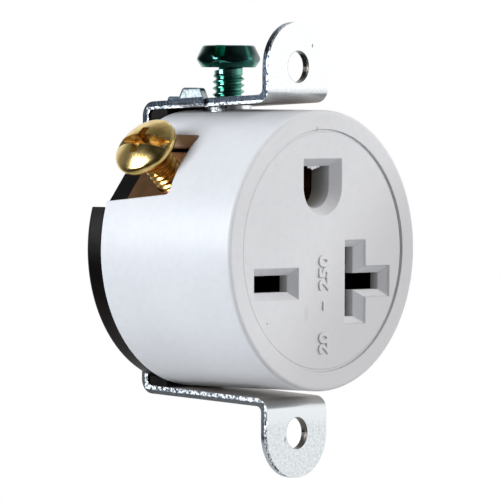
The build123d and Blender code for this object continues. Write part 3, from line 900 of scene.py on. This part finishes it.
def hex_head():
    """Slotted hexagon whose crown and foot are turned down to cones."""
    crown = tan(radians(HEX_CROWN_SLOPE))
    foot = tan(radians(HEX_FOOT_SLOPE))
    rings = [circle(HEX_FOOT_RADIUS * share, 0.0, HEX_SEGMENTS) for share in HEX_UNDERSIDE]
    for i in range(HEX_STEPS + 1):
        height = HEX_HEIGHT * i / HEX_STEPS
        crown_radius = HEX_CROWN_RADIUS + (HEX_HEIGHT - height) / crown
        foot_radius = HEX_FOOT_RADIUS + height / foot
        ring = []
        for j in range(HEX_SEGMENTS):
            angle = 2 * pi * j / HEX_SEGMENTS
            flat = hex_radius(angle - radians(HEX_TURN))
            radius = soft_minimum((flat, HEX_CORNER_RADIUS, crown_radius, foot_radius))
            ring.append(Vector((radius * cos(angle), radius * sin(angle), height)))
        rings.append(ring)
    brim = rings[-1]
    for share, rise in HEX_DOME:
        rings.append([Vector((p.x * share, p.y * share, HEX_HEIGHT + rise)) for p in brim])
    head = ring_solid(rings)
    slot = bmesh.new()
    dome_rise = HEX_DOME[-1][1]
    floor = HEX_HEIGHT + dome_rise - HEX_SLOT_DEPTH
    size = (HEX_ACROSS_FLATS, HEX_SLOT_WIDTH / 2)
    block(slot, size, size, floor, HEX_HEIGHT + CUT_ROOM)
    bmesh.ops.rotate(slot, verts=slot.verts, matrix=Matrix.Rotation(radians(HEX_SLOT_TURN), 3, "Z"))
    return cut(head, slot)


def joined(meshes):
    """One bmesh from several."""
    whole = bmesh.new()
    for mesh in meshes:
        data = bpy.data.meshes.new("part")
        mesh.to_mesh(data)
        mesh.free()
        whole.from_mesh(data)
        bpy.data.meshes.remove(data)
    return whole


def add_screw(node, joint_name, body, head, head_height, looks, softening):
    """Puts a threaded screw with the given head in place of a CAD screw."""
    middle, axis, turn, low, high = screw_place(node, joint_name)
    seat = high - head_height * MM
    length = (seat - low) / MM
    matrix = Matrix.Translation(middle + axis * seat) @ turn
    whole = joined([head, threaded_shank(length)])
    name = node + "_threaded"
    piece = finish_mesh(name, whole, looks, matrix, body)
    soften(piece, softening)
    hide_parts(node)


# Numbers


def number_block(body, low, high, height):
    """Mesh of raised figures that read upwards between two heights on the face."""
    text = bpy.data.curves.new("figures", "FONT")
    text.body = body
    text.size = NUMBER_TEXT_SIZE * MM
    text.extrude = NUMBER_RISE * MM
    text.bevel_depth = NUMBER_BEVEL * MM
    text.bevel_resolution = 2
    text.offset = NUMBER_BOLDNESS * MM
    shape = bpy.data.objects.new("figures", text)
    bpy.context.scene.collection.objects.link(shape)
    bpy.context.view_layer.update()
    graph = bpy.context.evaluated_depsgraph_get()
    data = bpy.data.meshes.new_from_object(shape.evaluated_get(graph))
    bpy.data.objects.remove(shape)
    corners = [[vertex.co[axis] for vertex in data.vertices] for axis in (0, 1)]
    spans = [(min(values), max(values)) for values in corners]
    middle = Vector((sum(spans[0]) / 2, sum(spans[1]) / 2, 0))
    length_fit = (high - low) * MM / (spans[0][1] - spans[0][0])
    height_fit = height * MM / (spans[1][1] - spans[1][0])
    fit = Matrix.Diagonal((length_fit, height_fit, 1, 1))
    upright = Matrix.Rotation(radians(90), 4, "X")
    reading_up = Matrix.Rotation(radians(90), 4, "Z")
    spot = Vector((NUMBER_X * MM, face_y + DISC_RECESS * MM, (low + high) / 2 * MM))
    turned = upright @ reading_up @ fit
    data.transform(Matrix.Translation(spot) @ turned @ Matrix.Translation(-middle))
    return data


def add_numbers(material):
    """Plain raised numbers on the face beside the slots."""
    whole = bmesh.new()
    for block_of_text in NUMBER_BLOCKS:
        data = number_block(*block_of_text)
        whole.from_mesh(data)
        bpy.data.meshes.remove(data)
    whole.transform(Matrix.Scale(1 / MM, 4))
    finish_mesh("face_numbers", whole, [material], Matrix.Identity(4), "socket")


# Face details


def between_outlines(inner, outer, near, far, deepening=0.0):
    """Closed bmesh of a wall between two outlines, whose near end can lie deeper on the right."""
    mesh = bmesh.new()
    rows = []
    reach = max(x for x, z in outer)
    corners = ((inner, near, deepening), (outer, near, deepening), (outer, far, 0), (inner, far, 0))
    for outline, depth, slope in corners:
        row = []
        for x, z in outline:
            share = min(max(x / reach, 0.0), 1.0)
            row.append(mesh.verts.new((x, depth + slope * share, z)))
        rows.append(row)
    count = len(inner)
    for one, two in zip(rows, rows[1:] + rows[:1]):
        for j in range(count):
            k = (j + 1) % count
            mesh.faces.new((one[j], one[k], two[k], two[j]))
    return mesh


def ground_outline(grow):
    """Flat-topped outline of the ground hole's throat, grown outwards."""
    half = GROUND_HALF_WIDTH + grow
    top = GROUND_RISE + GROUND_FLAT_RISE + grow
    points = [(-half, top), (half, top)]
    for step in range(THROAT_STEPS + 1):
        angle = -pi * step / THROAT_STEPS
        points.append((half * cos(angle), GROUND_RISE + half * sin(angle)))
    return points


def add_face_piece(name, mesh, material):
    """Sets a mesh, whose depths are measured from the face, in the housing."""
    shift = Matrix.Translation((0, face_y, 0))
    finish_mesh(name, mesh, [material], shift, "socket")


def ring_outline(radius):
    turns = [2 * pi * j / RING_SEGMENTS for j in range(RING_SEGMENTS)]
    return [(radius * cos(turn), radius * sin(turn)) for turn in turns]


def ragged_flash():
    """Thin closed strip under the flat top of the ground hole, with a ragged lower edge."""
    mesh = bmesh.new()
    top = GROUND_RISE + GROUND_FLAT_RISE
    near = THROAT_START + FLASH_INSET
    far = near + FLASH_THICKNESS
    last = len(FLASH_DROPS) - 1
    rows = []
    for depth, hangs in ((near, False), (near, True), (far, True), (far, False)):
        row = []
        for j, drop in enumerate(FLASH_DROPS):
            across = FLASH_START + FLASH_LENGTH * j / last
            row.append(mesh.verts.new((across, depth, top - drop if hangs else top)))
        rows.append(row)
    for one, two in zip(rows, rows[1:] + rows[:1]):
        for j in range(last):
            mesh.faces.new((one[j], one[j + 1], two[j + 1], two[j]))
    for j in (0, last):
        mesh.faces.new([row[j] for row in rows])
    return mesh


def add_face_details(material):
    """Shallow floor in the ring groove, a longer throat for the ground hole and its flash."""
    inner, outer = ring_outline(DISC_RADIUS - RING_WIDTH), ring_outline(DISC_RADIUS)
    ring = between_outlines(inner, outer, RING_FLOOR, RING_FLOOR + RING_THICKNESS, RING_DEEPENING)
    add_face_piece("ring_floor", ring, material)
    liner = between_outlines(ground_outline(0), ground_outline(LINER_WALL), LINER_START, LINER_END)
    add_face_piece("ground_throat", liner, material)
    add_face_piece("throat_flash", ragged_flash(), material)


# Studio


def add_floor():
    """Pale floor round the object, which keeps its shadow and fades out away from it."""
    mesh = bmesh.new()
    bmesh.ops.create_circle(mesh, cap_ends=True, segments=FLOOR_SEGMENTS, radius=FLOOR_RADIUS)
    data = bpy.data.meshes.new("floor")
    mesh.to_mesh(data)
    mesh.free()
    floor = bpy.data.objects.new("floor", data)
    floor.location = (0, 0, cad_low.z - FLOOR_GAP)
    bpy.context.scene.collection.objects.link(floor)

    material, nodes = new_material("floor")
    where = nodes.place()[0]
    away = nodes.add("ShaderNodeVectorMath", {"operation": "LENGTH"})
    nodes.put(away.inputs[0], where)
    far = nodes.between(away.outputs["Value"], *FLOOR_FADE)
    cloud = nodes.noise(where, 0.2, 2.0)
    colour = nodes.ramp(cloud, (0.3, 0.72), (0.7, 0.74))
    matt = nodes.add("ShaderNodeBsdfDiffuse", Color=colour)
    clear = nodes.add("ShaderNodeBsdfTransparent")
    mixed = nodes.add("ShaderNodeMixShader")
    nodes.put(mixed.inputs[0], far)
    nodes.put(mixed.inputs[1], matt.outputs[0])
    nodes.put(mixed.inputs[2], clear.outputs[0])
    output = nodes.add("ShaderNodeOutputMaterial")
    nodes.put(output.inputs[0], mixed.outputs[0])
    data.materials.append(material)


def add_world():
    """White to the camera and, behind the object, in metal; elsewhere brightest on the right."""
    world = bpy.data.worlds.new("studio")
    world.use_nodes = True
    bpy.context.scene.world = world
    nodes = Nodes(world.node_tree)
    ray = nodes.add("ShaderNodeTexCoord").outputs["Generated"]
    round_share = nodes.math("MULTIPLY_ADD", nodes.along(ray, direction(DARK_AZIMUTH, 0)), 0.5, 0.5)
    upward = nodes.add("ShaderNodeSeparateXYZ", Vector=ray).outputs[2]
    up_share = nodes.math("MULTIPLY_ADD", upward, 0.5, 0.5)
    level = nodes.ramp(round_share, *LEVELS_ROUND)
    level = nodes.mix(1.0, level, nodes.ramp(up_share, *LEVELS_UP), "MULTIPLY")

    path = nodes.add("ShaderNodeLightPath").outputs
    behind = nodes.along(ray, direction(CAMERA_AZIMUTH + 180, 0))
    rim, core = BACKDROP_REACH
    backdrop = nodes.between(behind, cos(radians(rim)), cos(radians(core)))
    bent = nodes.math("MAXIMUM", path["Is Glossy Ray"], path["Is Transmission Ray"])
    white = nodes.math("MAXIMUM", path["Is Camera Ray"], nodes.product(bent, backdrop))
    shade = nodes.mix(white, level, (1, 1, 1))
    background = nodes.add("ShaderNodeBackground", Color=shade, Strength=1.0)
    output = nodes.add("ShaderNodeOutputWorld")
    nodes.put(output.inputs[0], background.outputs[0])


def add_lamp(name, azimuth, elevation, distance, size, power, colour=(1, 1, 1), mirrored=True):
    """Soft lamp that shines at the origin, with a place in reflections if mirrored."""
    lamp = bpy.data.lights.new(name, "AREA")
    lamp.shape = "RECTANGLE"
    lamp.size = size[0]
    lamp.size_y = size[1]
    lamp.energy = power
    lamp.color = colour
    back = direction(azimuth, elevation)
    holder = bpy.data.objects.new(name, lamp)
    holder.location = back * distance
    holder.rotation_mode = "QUATERNION"
    holder.rotation_quaternion = back.to_track_quat("Z", "Y")
    holder.visible_glossy = mirrored
    bpy.context.scene.collection.objects.link(holder)


def dress_nodes():
    """Gives every shown CAD node its material."""
    slots = {row["node"]: row["material_slot"] for row in frame["record"]["subparts"]}
    made = {
        "white_plastic": white_plastic(),
        "black_plastic": black_plastic(),
        "zinc_steel": zinc_steel(),
        "contact_brass": contact_brass(),
        "screw_brass": screw_brass(),
        "green_steel": green_steel(),
    }
    strap = strap_steel()
    for name, node in frame["nodes"].items():
        material = strap if name == "mounting_strap" else made[slots[name]]
        if node.material_slots:
            for place in node.material_slots:
                place.material = material
        else:
            node.data.materials.append(material)
    return made


materials = dress_nodes()
brass_looks = [
    materials["screw_brass"],
    slot_painted_light("brass_slot_painted_reflection", (0.46, 0.26, 0.09), (0.88, 0.69, 0.34)),
]
green_looks = [
    materials["green_steel"],
    slot_painted_light("green_slot_painted_light", (0.05, 0.20, 0.16), (0.14, 0.38, 0.31)),
]
for side in ("left", "right"):
    add_screw(f"{side}_terminal_screw", f"{side}_screw_slide", f"{side}_screw", binding_head(),
              BINDING_CAD_HEIGHT, brass_looks, BINDING_SOFTENING)
add_screw("ground_screw", "ground_screw_slide", "green_screw", hex_head(),
          HEX_CAD_HEIGHT, green_looks, HEX_SOFTENING)
add_numbers(materials["white_plastic"])
add_face_details(materials["white_plastic"])

add_floor()
add_world()
add_lamp("key_softbox", azimuth=8, elevation=30, distance=0.36, size=(0.3, 0.26), power=0.87,
         colour=(1.0, 0.985, 0.97), mirrored=False)
add_lamp("left_softbox", azimuth=-113, elevation=15, distance=0.5, size=(0.25, 0.25), power=2.85,
         colour=(0.92, 0.96, 1.0))
add_lamp("right_softbox", azimuth=49, elevation=2, distance=0.6, size=(0.6, 0.6), power=0.85)
add_camera()

bpy.context.scene.view_settings.view_transform = "Standard"
